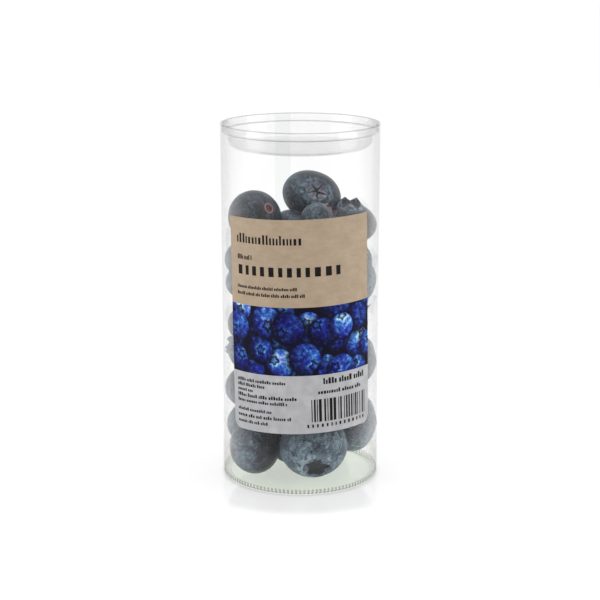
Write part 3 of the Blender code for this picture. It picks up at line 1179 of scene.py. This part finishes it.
@dataclass
class WrappedLabel:
    """The paper label glued round the front, slightly askew, with two round lower corners."""

    pack: PackSizes
    width: float = 61.0
    height: float = 83.4
    middle: float = 66.9
    corner: float = 3.5
    turn: float = math.radians(1.6)
    thickness: float = 0.12
    off_wall: float = 0.03
    columns: int = 110
    rows: int = 60
    ink_height: float = 0.03
    slab_strips: int = 6
    seed: int = 5
    print_rows: list[WordRow] = field(default_factory=lambda: [
        WordRow(-26.4, 2.4, 32.1, 3.6, 1.7, 30, fill=0.6, gap=0.1),
        WordRow(-26.1, -18.6, 25.7, 1.9, 0.8, 4),
        WordRow(-26.1, 17.6, 19.9, 3.6, 3.2, fill=0.74, gap=0.36),
        WordRow(-26.6, -0.8, 14.6, 1.3, 0.7, 7),
        WordRow(-26.6, 2.5, 12.0, 1.3, 0.7, 5),
        WordRow(-28.0, -5.7, -22.2, 1.3, 0.85, 6),
        WordRow(-28.0, -14.6, -24.2, 1.3, 0.85, 4),
        WordRow(-28.0, -20.1, -26.2, 1.3, 0.85, 5),
        WordRow(-28.0, -1.2, -28.4, 1.4, 0.95, 5),
        WordRow(-28.0, -5.9, -30.5, 1.3, 0.85, 6),
        WordRow(-28.0, -12.0, -34.0, 1.3, 0.85, 7),
        WordRow(-28.0, -4.6, -36.5, 1.4, 0.95, 4),
        WordRow(-28.0, -13.8, -38.9, 1.3, 0.85, 5),
        WordRow(8.2, 27.3, -22.4, 2.4, 1.3, 6),
        WordRow(6.1, 26.0, -26.2, 1.6, 1.1, 7),
        WordRow(1.6, 27.4, -39.4, 1.3, 1.0, gap=1.1),
    ])
    bars_left: float = 3.4
    bars_right: float = 27.6
    bars_low: float = -37.2
    bars_tall: float = 9.0
    bar_widths: Block = (0.35, 0.35, 0.7, 1.1)
    bar_gaps: Point3 = (0.45, 0.6, 1.0)
    block_widths: Point = (0.6, 1.0)
    block_heights: Point3 = (0.68, 0.72, 1.0)
    word_change: int = 2
    word_gap: float = 0.55
    shortest_word: int = 2

    def wrap(self, across: float, up: float, out: float) -> Vector:
        """Return the place on the tube of a point of the flat label.

        Args:
            across: millimetres to the right of the label's middle.
            up: millimetres above it.
            out: millimetres off the tube's wall.

        Returns:
            The place in metres.
        """
        turned = Matrix.Rotation(self.turn, 2) @ Vector((across, up))
        radius = self.pack.radius + (self.off_wall + out) * MM
        angle = turned.x * MM / self.pack.radius
        return Vector((radius * math.sin(angle), -radius * math.cos(angle),
                       (self.middle + turned.y) * MM))

    def edges(self, across: float) -> Point:
        """Find the label's lower and upper edge, where its corners are round.

        Args:
            across: millimetres to the right of the label's middle.

        Returns:
            Both edges' height over the middle, in millimetres.
        """
        into = max(0.0, abs(across) - (self.width / 2 - self.corner))
        lift = self.corner - math.sqrt(max(0.0, self.corner ** 2 - into ** 2))
        return -self.height / 2 + lift, self.height / 2

    def build(self, front: Material, back: Material) -> Piece:
        """Build the paper.

        Args:
            front: the printed side and the cut edges.
            back: the glued side, seen through the tube.

        Returns:
            The label's object.
        """
        body = bmesh.new()
        flat = body.verts.layers.float_vector.new(PLACE)
        rims = []
        for slot, out in ((1, 0.0), (0, self.thickness)):
            grid = []
            for column in range(self.columns + 1):
                across = self.width / 2 * math.sin(math.pi * (column / self.columns - 0.5))
                low, high = self.edges(across)
                ups = [low + (high - low) * row / self.rows for row in range(self.rows + 1)]
                grid.append([body.verts.new(self.wrap(across, up, out)) for up in ups])
                for vert, up in zip(grid[-1], ups):
                    vert[flat] = Vector((across, up, 0.0))
            for left, right in zip(grid, grid[1:]):
                for row in range(self.rows):
                    face = body.faces.new((left[row], right[row], right[row + 1], left[row + 1]))
                    face.material_index = slot
            foot, head = [line[0] for line in grid], [line[-1] for line in grid]
            rims.append(foot + grid[-1][1:-1] + head[::-1] + grid[0][-2:0:-1])
        join_rings(body, *rims)
        return mesh_object("paper_label", body, [front, back], sharp=60.0)

    def build_print(self, ink: Material) -> Piece:
        """Build the blocks and bars of dark ink, each a low slab that follows the label's curve.

        Args:
            ink: the ink's finish.

        Returns:
            All the ink as one mesh.
        """
        blocks = self._word_blocks() + self._bars()
        base = points_object("label_ink", [(across, up, 0.0) for across, up, _, _ in blocks],
                             size=[(wide, tall, 1.0) for _, _, wide, tall in blocks])
        piece = grow(self._print_tree(), "label_ink", base, Slab=self._slab(), Turn=self.turn,
                     Radius=self.pack.radius, Lift=(self.off_wall + self.thickness) * MM,
                     Middle=self.middle * MM, Finish=ink)
        piece.data.shade_flat()
        return piece

    def _word_blocks(self) -> list[Block]:
        """Return middle, width and height of every block that stands in a row of words."""
        chance = random.Random(self.seed)
        blocks = []
        for row in self.print_rows:
            place, count = row.left, 0
            word = self._word_length(row, chance) if row.word else 0
            while place < row.right - row.wide / 2:
                wide = row.wide * chance.uniform(*self.block_widths)
                tall = row.tall * (chance.choice(self.block_heights) if row.word else 1.0)
                blocks.append((place + wide / 2, row.low + tall / 2, wide * row.fill, tall))
                place += wide + row.wide * row.gap
                count += 1
                if word and count >= word:
                    place += row.wide * self.word_gap
                    count = 0
                    word = self._word_length(row, chance)
        return blocks

    def _word_length(self, row: WordRow, chance: random.Random) -> int:
        """Return how many blocks the next word of a row has."""
        return max(self.shortest_word, row.word + chance.randint(-self.word_change, self.word_change))

    def _bars(self) -> list[Block]:
        """Return middle, width and height of every upright bar."""
        chance = random.Random(self.seed + 1)
        bars = []
        place = self.bars_left
        while place < self.bars_right:
            wide = chance.choice(self.bar_widths)
            bars.append((place + wide / 2, self.bars_low + self.bars_tall / 2, wide, self.bars_tall))
            place += wide + chance.choice(self.bar_gaps)
        return bars

    def _slab(self) -> Piece:
        """Return a slab of unit width and height and of the ink's depth, in strips that can bend."""
        body = bmesh.new()
        bmesh.ops.create_grid(body, x_segments=self.slab_strips, y_segments=1, size=0.5)
        made = bmesh.ops.extrude_face_region(body, geom=body.faces[:])
        for vert in [item for item in made["geom"] if isinstance(item, bmesh.types.BMVert)]:
            vert.co.z += self.ink_height
        return mesh_object("slab", body)

    def _print_tree(self) -> Tree:
        """Return the geometry tree that sets slabs on flat places and wraps them round the tube."""
        tree, given = start_group("wrapped_print", "Geometry", "Geometry", Geometry="Geometry",
                                  Slab="Object", Turn="Float", Radius="Float", Lift="Float",
                                  Middle="Float", Finish="Material")
        size = add_node(tree, "GeometryNodeInputNamedAttribute", "size", data_type="FLOAT_VECTOR")
        real = set_copies(tree, given["Geometry"], given["Slab"], Scale=size)
        place = add_node(tree, "GeometryNodeInputPosition")
        scaled = add_node(tree, "VectorMath", place, MM, operation="SCALE")
        turned = add_node(tree, "VectorRotate", Vector=scaled, Angle=given["Turn"],
                          rotation_type="Z_AXIS")
        parts = add_node(tree, "SeparateXYZ", turned).outputs
        angle = add_node(tree, "Math", parts[0], given["Radius"], operation="DIVIDE")
        out = add_node(tree, "Math", parts[2], given["Lift"], operation="ADD")
        reach = add_node(tree, "Math", out, given["Radius"], operation="ADD")
        sine = add_node(tree, "Math", angle, operation="SINE")
        cosine = add_node(tree, "Math", angle, operation="COSINE")
        side = add_node(tree, "Math", reach, sine, operation="MULTIPLY")
        depth = add_node(tree, "Math", reach, cosine, operation="MULTIPLY")
        front = add_node(tree, "Math", depth, -1.0, operation="MULTIPLY")
        rise = add_node(tree, "Math", parts[1], given["Middle"], operation="ADD")
        wrapped = add_node(tree, "GeometryNodeSetPosition", Geometry=real,
                           Position=add_node(tree, "CombineXYZ", side, front, rise))
        return dress_group(tree, wrapped, given["Finish"])


# ---------------------------------------------------------------- the fruit


class Crown(Enum):
    """How a berry's crown stands."""

    TALL = "tall"
    FLAT = "flat"
    SHUT = "shut"


@dataclass
class Berry:
    """One blueberry, in millimetres: a flattened ball with its crown on one end of its short axis.

    Attributes:
        centre: where it lies.
        width: across its widest.
        flatness: its height over its width.
        axis: where its crown points.
        crown: how the crown stands.
        squash: its second width over the first.
        spin: turn about its own axis, in degrees.
        tone: how much paler than usual its bloom is.
        scar: how red its stem scar and how pink its crown is, from 0 to 1.
        worn: points to the side whose skin is painted darker as shade; its length says how much.
    """

    centre: Vector
    width: float
    flatness: float
    axis: Vector
    crown: Crown = Crown.FLAT
    squash: float = 1.0
    spin: float = 0.0
    tone: float = 0.0
    scar: float = 0.0
    worn: Point3 = (0.0, 0.0, 0.0)

    @property
    def half_width(self) -> float:
        """Half of its width."""
        return self.width / 2

    @property
    def turn(self) -> Matrix:
        """How it is turned from upright."""
        lean = Vector((0, 0, 1)).rotation_difference(self.axis).to_matrix()
        return lean @ Matrix.Rotation(math.radians(self.spin), 3, "Z")

    @property
    def mean_radius(self) -> float:
        """The radius of a ball of about the same volume."""
        return (self.half_width ** 3 * self.flatness) ** (1 / 3)


def shown(x: float, y: float, z: float, width: float, flatness: float, axis: Point3, **looks) -> Berry:
    """Return a berry whose place is given.

    Args:
        x: to the right of the tube's axis, in millimetres.
        y: behind it.
        z: above the table.
        width: across the berry's widest.
        flatness: its height over its width.
        axis: where its crown points.
        looks: further fields of the berry.

    Returns:
        The berry.
    """
    return Berry(Vector((x, y, z)), width, flatness, Vector(axis).normalized(), **looks)


@dataclass(frozen=True)
class BerryForm:
    """The shape of a berry of unit half width: a ball with a bowl for the crown and a stem dimple."""

    around: int = 44
    rows: int = 30
    crowding: float = 0.5
    bowl_radius: float = 0.38
    bowl_depth: float = 0.17
    ring_radius: float = 0.48
    ring_rise: float = 0.03
    ring_width: float = 0.08
    dimple_radius: float = 0.16
    dimple_depth: float = 0.05
    lip_rise: float = 0.015
    lip_width: float = 0.035
    bowl_bluntness: float = 0.6

    def height(self, reach: float, ball: float) -> float:
        """Return the surface's height at a distance from the axis, near either end.

        Args:
            reach: distance from the axis.
            ball: the plain ball's height there.

        Returns:
            The height with the bowl or the dimple worked in.
        """
        if ball > 0:
            inside = max(0.0, 1 - (reach / self.bowl_radius) ** 2)
            ring = math.exp(-((reach - self.ring_radius) / self.ring_width) ** 2)
            return ball - self.bowl_depth * inside ** self.bowl_bluntness + self.ring_rise * ring
        inside = max(0.0, 1 - (reach / self.dimple_radius) ** 2)
        lip = math.exp(-((reach - self.dimple_radius) / self.lip_width) ** 2)
        return ball + self.dimple_depth * inside - self.lip_rise * lip

    def build(self) -> Piece:
        """Return the skin of one berry of unit half width, with its own coordinates kept."""
        body = bmesh.new()
        rings = []
        for row in range(self.rows + 1):
            share = row / self.rows
            share -= self.crowding * math.sin(2 * math.pi * share) / (2 * math.pi)
            reach, ball = math.sin(math.pi * share), math.cos(math.pi * share)
            height = self.height(reach, ball)
            if row in (0, self.rows):
                rings.append([body.verts.new((0.0, 0.0, height))] * self.around)
                continue
            rings.append([body.verts.new((reach * math.cos(angle), reach * math.sin(angle), height))
                          for angle in even_angles(self.around)])
        for upper, lower in zip(rings, rings[1:]):
            join_rings(body, upper, lower)
        keep_form(body)
        return mesh_object("berry", body, sharp=180.0)


@dataclass(frozen=True)
class CrownForm:
    """The crown of a berry of unit half width: a ring with five lobes that stand up or fold inwards.

    Attributes:
        foot: the ring's radius.
        reach: how far a lobe's tip goes outwards, or inwards where it is negative.
        rise: how high a tip stands over the ring.
        blunt: 1 for pointed lobes, more for broad ones.
        uneven: each lobe's share of the full size.
    """

    foot: float
    reach: float
    rise: float
    blunt: float
    uneven: tuple[float, ...]
    thickness: float = 0.035
    foot_height: float = 0.86
    ring_height: float = 0.95
    steps: int = 12

    @classmethod
    def of(cls, crown: Crown) -> CrownForm:
        """Return the form of a kind of crown."""
        if crown is Crown.TALL:
            return cls(foot=0.44, reach=-0.09, rise=0.27, blunt=1.1, uneven=(1.0, 0.8, 1.08, 0.9, 0.95))
        if crown is Crown.SHUT:
            return cls(foot=0.37, reach=-0.32, rise=-0.02, blunt=5.0, uneven=(1.0, 0.8, 0.96, 1.04, 0.72))
        return cls(foot=0.4, reach=-0.22, rise=-0.04, blunt=1.7, uneven=(1.0, 0.35, 0.8, 0.3, 0.65))

    def build(self) -> Piece:
        """Return one crown, its section running from the inner foot over the tip to the outer foot."""
        body = bmesh.new()
        sections = []
        for step, angle in enumerate(even_angles(len(self.uneven) * self.steps)):
            lobe, into = divmod(step, self.steps)
            share = (1 - abs(2 * into / self.steps - 1) ** self.blunt) * self.uneven[lobe]
            outline = self._outline(self.foot + self.reach * share, self.ring_height + self.rise * share)
            sections.append([body.verts.new((r * math.cos(angle), r * math.sin(angle), z))
                             for r, z in outline])
        for section, following in zip(sections, sections[1:] + sections[:1]):
            join_rings(body, section, following)
        keep_form(body)
        return mesh_object("crown", body, sharp=70.0)

    def _outline(self, reach: float, tip: float) -> list[Point]:
        """Lay out the section through a lobe, from its inner side over the tip to its outer side.

        Args:
            reach: the tip's distance from the axis.
            tip: its height.

        Returns:
            The section's (radius, height) points.
        """
        thick = self.thickness
        middle = ((self.foot + reach) / 2, (self.ring_height + tip) / 2)
        if self.rise > 0:
            return [(self.foot - thick, self.foot_height), (middle[0] - thick, middle[1]),
                    (reach - thick / 4, tip), (reach + thick / 4, tip - thick / 2),
                    (middle[0] + thick / 2, middle[1] - thick / 2),
                    (self.foot + thick * 2, self.foot_height - thick)]
        return [(self.foot - thick, self.foot_height), (middle[0], middle[1] - thick / 2),
                (reach, tip - thick), (reach, tip - thick / 2), (middle[0], middle[1] + thick / 2),
                (self.foot, self.ring_height + thick / 3), (self.foot + thick, self.foot_height)]


@dataclass
class FruitHeap:
    """The tube's fruit: berries that show, listed one by one, and others that fill the wall and middle."""

    pack: PackSizes
    floor: float = 2.1
    layers: int = 6
    layer_rise: float = 16.0
    ring_count: int = 6
    fill_width: float = 20.0
    fill_flatness: float = 0.84
    fill_spread: float = 0.07
    fill_turn: float = 0.12
    fill_rise: float = 2.0
    fill_top: float = 89.6
    # how strongly painted shade darkens one side of each filling berry
    fill_worn: float = 0.2
    fill_tone: float = 0.12
    fill_scar: float = 0.8
    middle_tone: float = 0.15
    crowded: float = 12.0
    seed: int = 7
    rounds: int = 300
    share: float = 0.4
    looks_seed: int = 11
    middle_count: int = 6
    middle_rise: float = 15.5
    middle_off: float = 3.0
    shrink: float = 0.985
    unevenness: float = 0.45 * MM
    uneven_size: float = 11.0 * MM
    core_radius: float = 9.0 * MM
    core_foot: float = 8.6 * MM
    core_top: float = 86.6 * MM
    core_mean: float = 0.85
    core_wave: float = 0.12
    core_steps: int = 40
    core_around: int = 48
    placed: list[Berry] = field(default_factory=lambda: [
        shown(4.5, 4.0, 111.6, 23.9, 0.90, (0.19, -0.93, 0.33), crown=Crown.SHUT, squash=0.82, spin=-12,
              tone=-0.11, scar=0.25, worn=(0.1, 0.0, 0.1)),
        shown(-17.5, -9.0, 105.5, 21.3, 0.93, (-0.57, 0.66, -0.49), tone=-0.24, scar=1.0),
        shown(-3.0, -4.2, 99.5, 18.0, 0.88, (-0.3, -0.2, -0.9), tone=-0.1),
        shown(6.8, -16.5, 105.7, 14.0, 0.92, (0.75, -0.05, 0.66), crown=Crown.TALL, tone=-0.05,
              scar=0.8),
        shown(18.6, 0.0, 101.6, 23.0, 0.68, (0.12, -0.18, 1.0), crown=Crown.TALL, spin=-126, tone=-0.33),
        shown(6.0, 17.5, 97.6, 18.5, 0.92, (-0.3, 0.6, -0.7), tone=-0.1, scar=1.0),
        shown(-19.6, -4.8, 87.8, 20.2, 0.79, (0.1, -0.1, 1.0)),
        shown(-19.7, 4.4, 77.2, 20.2, 0.79, (0.1, -0.2, -1.0)),
        shown(-20.2, -7.0, 62.2, 17.0, 0.88, (0.3, 0.6, 0.7), tone=-0.14),
        shown(-21.8, 3.2, 49.6, 16.4, 0.84, (-0.95, 0.1, 0.22), crown=Crown.TALL),
        shown(-20.1, -2.0, 35.6, 20.0, 0.88, (0.2, -0.4, -0.9), tone=-0.07),
        shown(-20.2, 4.6, 17.6, 19.2, 0.80, (0.15, 1.0, 0.2)),
        shown(19.6, 9.2, 84.2, 18.6, 0.76, (0.1, 1.0, 0.25), crown=Crown.TALL, tone=-0.04),
        shown(18.6, -4.2, 79.6, 22.8, 0.74, (-0.15, 1.0, 0.1), tone=-0.04),
        shown(20.9, -1.0, 47.2, 22.4, 0.82, (0.95, 0.1, 0.2), tone=-0.12),
        shown(19.4, 0.5, 21.1, 27.0, 0.80, (0.95, 0.2, 0.2), tone=0.16, worn=(-0.1, -0.4, 0.5)),
        shown(-18.2, -9.7, 12.8, 21.8, 0.90, (0.85, 0.52, 0.05), tone=0.07, worn=(0.5, -0.16, -0.2)),
        shown(5.2, -16.2, 15.4, 27.2, 0.88, (0.12, -0.83, -0.53), spin=18, tone=0.12,
              worn=(-0.06, 0.0, 0.14)),
    ])

    @property
    def reach(self) -> float:
        """How far from the tube's axis the fruit goes, in millimetres."""
        return (self.pack.inside - self.pack.gap) / MM

    def fill(self) -> list[Berry]:
        """Return further berries along the wall, layer by layer, where no placed berry is near."""
        chance = random.Random(self.seed)
        looks = random.Random(self.looks_seed)
        berries = []
        distance = self.reach - self.fill_width / 2
        for layer in range(self.layers):
            height = self.floor + self.fill_width / 2 + layer * self.layer_rise
            for step in range(self.ring_count):
                angle = 2 * math.pi * (step + 0.5 * (layer % 2)) / self.ring_count
                angle += chance.uniform(-self.fill_turn, self.fill_turn)
                rise = chance.uniform(-self.fill_rise, self.fill_rise)
                centre = Vector((distance * math.cos(angle), distance * math.sin(angle), height + rise))
                width = self.fill_width * (1 + chance.uniform(-self.fill_spread, self.fill_spread))
                axis = Vector([chance.uniform(-1, 1) for _ in range(3)]).normalized()
                if all((centre - berry.centre).length > self.crowded for berry in self.placed):
                    worn = tuple(looks.uniform(-self.fill_worn, self.fill_worn) for _ in range(3))
                    berries.append(Berry(centre, width, self.fill_flatness, axis,
                                         looks.choice(list(Crown)), 1.0, looks.uniform(0, 360),
                                         looks.uniform(-self.fill_tone, self.fill_tone),
                                         looks.random() * self.fill_scar, worn))
        return berries

    def settle(self, loose: list[Berry]) -> None:
        """Push the loose berries apart and off the placed ones, keeping them against the wall."""
        for _ in range(self.rounds):
            for berry in loose:
                push = Vector()
                for other in self.placed + loose:
                    between = berry.centre - other.centre
                    overlap = berry.mean_radius + other.mean_radius - between.length
                    if other is not berry and overlap > 0:
                        push += between.normalized() * overlap * self.share
                berry.centre += push
                room = self.reach - berry.half_width
                distance = math.hypot(berry.centre.x, berry.centre.y)
                berry.centre.x *= room / distance
                berry.centre.y *= room / distance
                lowest = self.floor + berry.half_width
                berry.centre.z = min(max(berry.centre.z, lowest), self.fill_top)

    def middle(self) -> list[Berry]:
        """Return the berries of the middle column, which no wall berry hides from every side."""
        looks = random.Random(self.looks_seed + 1)
        berries = []
        for step in range(self.middle_count):
            angle = looks.uniform(0, 2 * math.pi)
            centre = Vector((self.middle_off * math.cos(angle), self.middle_off * math.sin(angle),
                             self.floor + self.fill_width / 2 + step * self.middle_rise))
            axis = Vector([looks.uniform(-1, 1) for _ in range(3)]).normalized()
            berries.append(Berry(centre, self.fill_width, self.fill_flatness, axis, Crown.FLAT, 1.0,
                                 looks.uniform(0, 360), looks.uniform(-self.middle_tone, 0.0)))
        return berries

    def berries(self) -> list[Berry]:
        """Return every berry of the heap."""
        loose = self.fill()
        self.settle(loose)
        return self.placed + loose + self.middle()

    def build(self, skin: Material, crown: Material, dark: Material) -> list[Piece]:
        """Build the skins, every kind of crown and the core.

        Args:
            skin: the berries' finish.
            crown: the crowns' finish.
            dark: the finish of the core between them, painted shade.

        Returns:
            The pieces, the skins first.
        """
        berries = self.berries()
        tree = self._tree()
        pieces = [self._scatter(tree, "berry_skins", BerryForm().build(), berries, skin)]
        for kind in Crown:
            chosen = [berry for berry in berries if berry.crown is kind]
            shape = CrownForm.of(kind).build()
            pieces.append(self._scatter(tree, f"{kind.value}_crowns", shape, chosen, crown))
        pieces.append(self._core(dark))
        return pieces

    def _scatter(self, tree: Tree, name: str, shape: Piece, berries: Sequence[Berry],
                 finish: Material) -> Piece:
        """Set a shape on every berry's place, as one mesh.

        Args:
            tree: the geometry tree that does it.
            name: the piece's name.
            shape: the part of a berry of unit half width, which is removed.
            berries: where it goes.
            finish: its material.

        Returns:
            The finished piece.
        """
        halves = [berry.half_width * self.shrink * MM for berry in berries]
        base = points_object(name, [berry.centre * MM for berry in berries], **{
            "turn": [berry.turn.to_euler() for berry in berries],
            "size": [(half, half * berry.squash, half * berry.flatness)
                     for half, berry in zip(halves, berries)],
            SHADED_SIDE: [berry.turn.inverted() @ Vector(berry.worn) for berry in berries],
            TONE: [berry.tone for berry in berries],
            SCAR: [berry.scar for berry in berries]})
        return grow(tree, name, base, Fruit=shape, Unevenness=self.unevenness,
                    Uneven_Size=self.uneven_size, Finish=finish)

    def _tree(self) -> Tree:
        """Return the geometry tree that sets a shape on points and makes the whole gently uneven."""
        tree, given = start_group("heap_of_fruit", "Geometry", "Geometry", Geometry="Geometry",
                                  Fruit="Object", Unevenness="Float", Uneven_Size="Float",
                                  Finish="Material")
        turn = add_node(tree, "GeometryNodeInputNamedAttribute", "turn", data_type="FLOAT_VECTOR")
        size = add_node(tree, "GeometryNodeInputNamedAttribute", "size", data_type="FLOAT_VECTOR")
        rotation = add_node(tree, "FunctionNodeEulerToRotation", turn)
        real = set_copies(tree, given["Geometry"], given["Fruit"], Rotation=rotation, Scale=size)
        fine = add_node(tree, "Math", 1.0, given["Uneven Size"], operation="DIVIDE")
        place = add_node(tree, "GeometryNodeInputPosition")
        wave = add_node(tree, "TexNoise", place, fine, 1.0).outputs["Color"]
        centred = add_node(tree, "VectorMath", wave, (0.5, 0.5, 0.5), operation="SUBTRACT")
        offset = add_node(tree, "VectorMath", centred, given["Unevenness"], operation="SCALE")
        uneven = add_node(tree, "GeometryNodeSetPosition", Geometry=real, Offset=offset)
        return dress_group(tree, uneven, given["Finish"])

    def _core(self, dark: Material) -> Piece:
        """Build the dark core inside the fruit, a waved column: painted shade that stands for the shaded
        berries hidden there.

        Args:
            dark: its finish.

        Returns:
            The core's object.
        """
        side = []
        for step in range(self.core_steps + 1):
            share = step / self.core_steps
            wave = self.core_wave * math.sin(share * 2 * math.pi * self.middle_count)
            side.append((self.core_radius * (self.core_mean + wave),
                         self.core_top + (self.core_foot - self.core_top) * share))
        profile = [(0.0, self.core_top)] + side + [(0.0, self.core_foot)]
        return turn_profile("fruit_core", profile, even_angles(self.core_around), [dark])


# ---------------------------------------------------------------- the studio


@dataclass
class Studio:
    """A pale table, an even white surround with softer light from the front, and the camera."""

    camera_place: Point3 = (-0.0001, -0.614, 0.2216)
    camera_pitch: float = math.radians(13.83)
    lens: float = 96.0
    sensor: float = 36.0
    nearest: float = 0.01
    table_size: float = 30.0
    lamps: tuple[tuple[str, Point3, Point, float], ...] = (
        ("left_softbox", (-0.75, -0.30, 0.35), (0.5, 0.8), 2.3),
        ("right_softbox", (0.75, -0.25, 0.35), (0.5, 0.8), 2.4),
        ("top_softbox", (0.0, 0.05, 0.95), (0.8, 0.8), 2.0),
    )
    lit_place: Point3 = (0.0, 0.0, 0.07)

    def build(self) -> None:
        """Build the table, the surround, the softboxes that face the tube, and the camera."""
        body = bmesh.new()
        bmesh.ops.create_grid(body, x_segments=1, y_segments=1, size=self.table_size / 2)
        mesh_object("table", body, [PaleFloor().material()])
        self._surround()
        for name, place, size, power in self.lamps:
            lamp = bpy.data.lights.new(name, "AREA")
            lamp.shape = "RECTANGLE"
            lamp.size, lamp.size_y = size
            lamp.energy = power
            holder = link_object(name, lamp)
            holder.location = place
            aim = Vector(self.lit_place) - Vector(place)
            holder.rotation_euler = aim.to_track_quat("-Z", "Y").to_euler()
        self._camera()

    def _surround(self) -> None:
        """Set the world: plain white where it is seen, slightly greyer low down for the lighting."""
        world = bpy.data.worlds.new("surround")
        bpy.context.scene.world = world
        world.use_nodes = True
        tree = world.node_tree
        tree.nodes.clear()
        parts = add_node(tree, "SeparateXYZ", add_node(tree, "TexCoord").outputs["Generated"]).outputs
        front = add_node(tree, "MapRange", parts[1], -1.0, 0.2, 0.36, 1.02)
        high = add_node(tree, "MapRange", parts[2], 0.0, 0.6, 0.0, 0.15)
        level = add_node(tree, "Math", front, high, operation="ADD")
        light = add_node(tree, "Background", "ffffff", level)
        seen = add_node(tree, "Background", "ffffff", 1.0)
        ray = add_node(tree, "LightPath").outputs["Is Camera Ray"]
        add_node(tree, "OutputWorld", add_node(tree, "MixShader", ray, light, seen))

    def _camera(self) -> None:
        """Add the camera at the photograph's angle."""
        camera = bpy.data.cameras.new("camera")
        camera.lens = self.lens
        camera.sensor_width = self.sensor
        camera.sensor_fit = "HORIZONTAL"
        camera.clip_start = self.nearest
        holder = link_object("camera", camera)
        holder.location = self.camera_place
        holder.rotation_euler = Euler((math.pi / 2 - self.camera_pitch, 0.0, 0.0))
        bpy.context.scene.camera = holder


# ---------------------------------------------------------------- the whole


def build_pack(pack: PackSizes) -> None:
    """Build the wall with its ribs, the base disc and the lid."""
    sheet = ClearPlastic("clear_sheet").material()
    edge = CutEdge("cut_edge").material()
    lap = ClearPlastic("clear_lap", tint="fafbfb", edge_tint="e0e1e1").material()
    foot = ClearPlastic("turned_in_foot", tint="f8f9f7", edge_tint="eff1ed", edge_shine=0.06).material()
    wall = TubeWall(pack)
    hand_over(wall.build(sheet, lap, edge, foot), "tube")
    ribs = CutEdge("pressed_ribs", tint="e9eae7", milky=0.05, milk="b4b6b2").material()
    hand_over(wall.build_ribs(ribs))
    disc = ClearPlastic("clear_disc", tint="fafdf8", edge_tint="f5f9f3", edge_shine=0.05).material()
    hand_over(BaseDisc(pack).build(disc, disc), "base")
    moulded = ClearPlastic("moulded_lid", tint="fdfdfd", edge_tint="f8f8f8").material()
    # The crease's darker tint is painted shade along the lid's bend.
    crease = ClearPlastic("lid_crease", tint="cfcfcf", edge_tint="c6c6c6").material()
    hand_over(PlugLid(pack).build(moulded, crease, edge), "lid")


def build_label(pack: PackSizes) -> None:
    """Build the label's paper and ink."""
    label = WrappedLabel(pack)
    back = PlainPaint("label_back", light="cfc9c0", dark="bfb8ad", grain=4 * MM).material()
    hand_over(label.build(LabelPaper().material(), back), "label")
    ink = PlainPaint("label_ink", light="1c1917", dark="120f0e").material()
    hand_over(label.build_print(ink))


def build_fruit(pack: PackSizes) -> None:
    """Build the berries and the core that they hide."""
    skin = BerrySkin().material()
    crown = DriedCrown().material()
    dark = PlainPaint("fruit_shade", light="2a323c", dark="1a2028", grain=6 * MM).material()
    skins, *others = FruitHeap(pack).build(skin, crown, dark)
    hand_over(skins, "berries")
    for piece in others:
        hand_over(piece)


def main() -> None:
    """Build the tube of berries and its studio."""
    logging.basicConfig(level=logging.INFO, format="%(name)s: %(message)s")
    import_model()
    scene = bpy.context.scene
    scene.view_settings.view_transform = "Standard"
    scene.cycles.transparent_max_bounces = 40
    scene.cycles.max_bounces = 12
    Studio().build()
    pack = PackSizes.from_frame()
    build_pack(pack)
    build_label(pack)
    build_fruit(pack)


if __name__ == "__main__":
    main()
